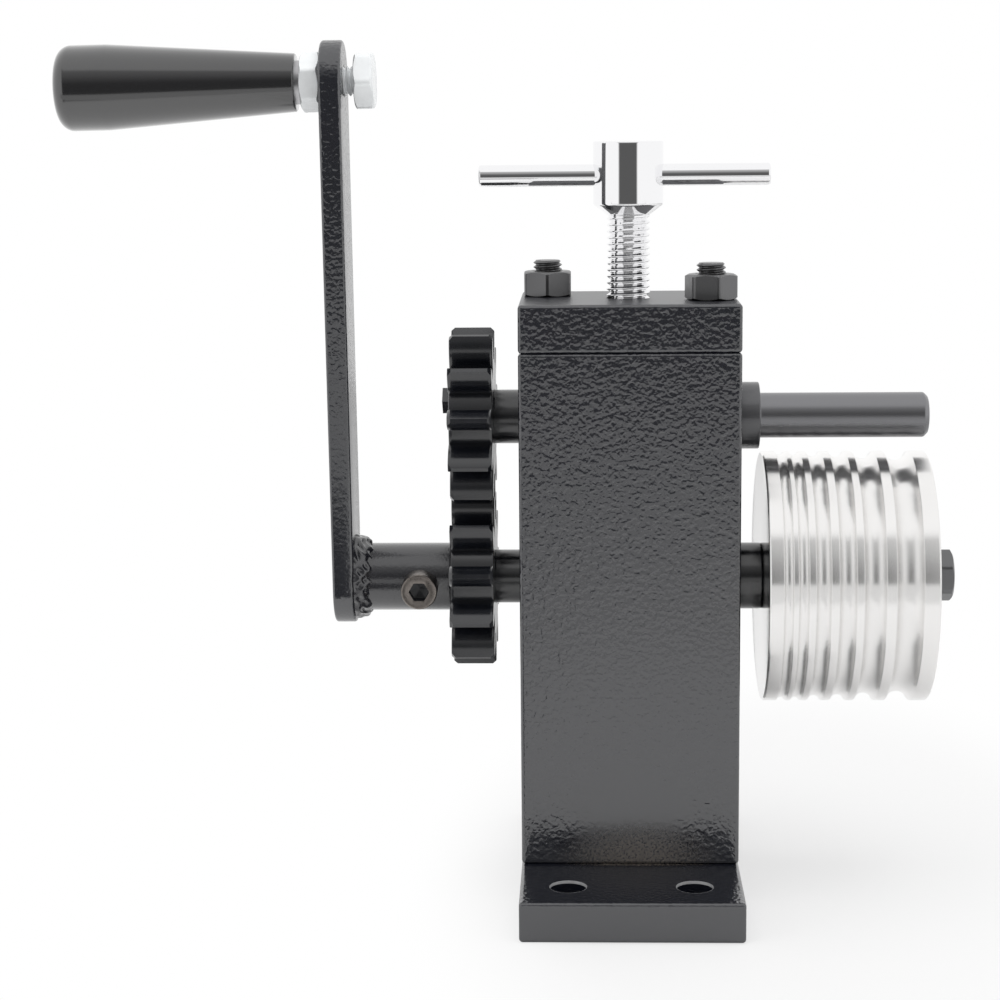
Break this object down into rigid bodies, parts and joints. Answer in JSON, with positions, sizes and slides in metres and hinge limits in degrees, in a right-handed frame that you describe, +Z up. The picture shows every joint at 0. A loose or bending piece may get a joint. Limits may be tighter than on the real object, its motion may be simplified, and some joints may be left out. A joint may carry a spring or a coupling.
{
  "type": "ring roller",
  "caption": "Bench ring roller: crank-driven geared shafts in an upright block bend wire or strip between a plain former and a grooved roller, closed by a top screw.",
  "frame": {"origin": "underside of the base plate, on the axis of the pressure screw", "axes": "X right along the two shafts, the crank at -X and the rollers at +X; Y away from the operator side seen in the picture; Z up along the pressure screw"},
  "size_m": [0.2454, 0.115, 0.2365],
  "materials": {
    "hammertone_paint": "glossy black wrinkled hammer finish paint",
    "satin_paint": "semi-gloss black paint",
    "black_oxide": "black oxide, satin",
    "polished_roller": "fine turned and polished",
    "chrome_plate": "bright chrome",
    "bright_steel": "machined",
    "bronze": "plain bearing bronze",
    "zinc_plate": "bright zinc plate",
    "grey_steel": "dark alloy steel",
    "grip_plastic": "glossy moulded"
  },
  "bodies": {
    "frame": {"base_plate": "hammertone_paint", "column_block": "hammertone_paint", "cap_plate": "hammertone_paint", "cap_studs": "black_oxide", "cap_nuts": "black_oxide", "lower_bush_left": "bronze", "lower_bush_right": "bronze", "lift_springs": "bright_steel"},
    "slider": {"bearing_block": "bright_steel", "bearing_bush": "bronze"},
    "upper_roller": {"upper_shaft": "black_oxide", "driven_gear": "black_oxide", "driven_gear_key": "black_oxide"},
    "screw": {"pressure_screw": "chrome_plate", "tommy_bar": "chrome_plate"},
    "crank": {"lower_shaft": "black_oxide", "drive_gear": "black_oxide", "drive_gear_key": "black_oxide", "grooved_roller": "polished_roller", "roller_key": "bright_steel", "roller_washer": "black_oxide", "roller_bolt": "black_oxide", "crank_hub": "satin_paint", "crank_weld": "satin_paint", "crank_arm": "hammertone_paint", "clamp_screw": "grey_steel"},
    "handle": {"handle_bolt": "zinc_plate", "handle_lock_nut": "zinc_plate", "grip_insert": "bright_steel", "handle_grip": "grip_plastic"}
  },
  "joints": [
    {"name": "block_slide", "type": "slide", "parent": "frame", "child": "slider", "axis": [0, 0, 1], "range_m": [-0.0039, 0.002], "deforming": ["lift_springs"]},
    {"name": "crank_spin", "type": "hinge", "parent": "frame", "child": "crank", "pos_m": [0, 0, 0.0875], "axis": [1, 0, 0], "continuous": true},
    {"name": "upper_spin", "type": "hinge", "parent": "slider", "child": "upper_roller", "pos_m": [0, 0, 0.133], "axis": [1, 0, 0], "continuous": true},
    {"name": "screw_turn", "type": "hinge", "parent": "slider", "child": "screw", "pos_m": [0, 0, 0.18], "axis": [0, 0, 1], "range_deg": [-803, 412]},
    {"name": "handle_spin", "type": "hinge", "parent": "crank", "child": "handle", "pos_m": [-0.0797, -0.00965, 0.22546], "axis": [0.9999, -0.0011, 0.0157], "continuous": true}
  ],
  "couplings": [
    {"joint": "upper_spin", "follows": "crank_spin", "ratio": -1},
    {"joint": "screw_turn", "follows": "block_slide", "rad_per_m": 3590.4}
  ]
}
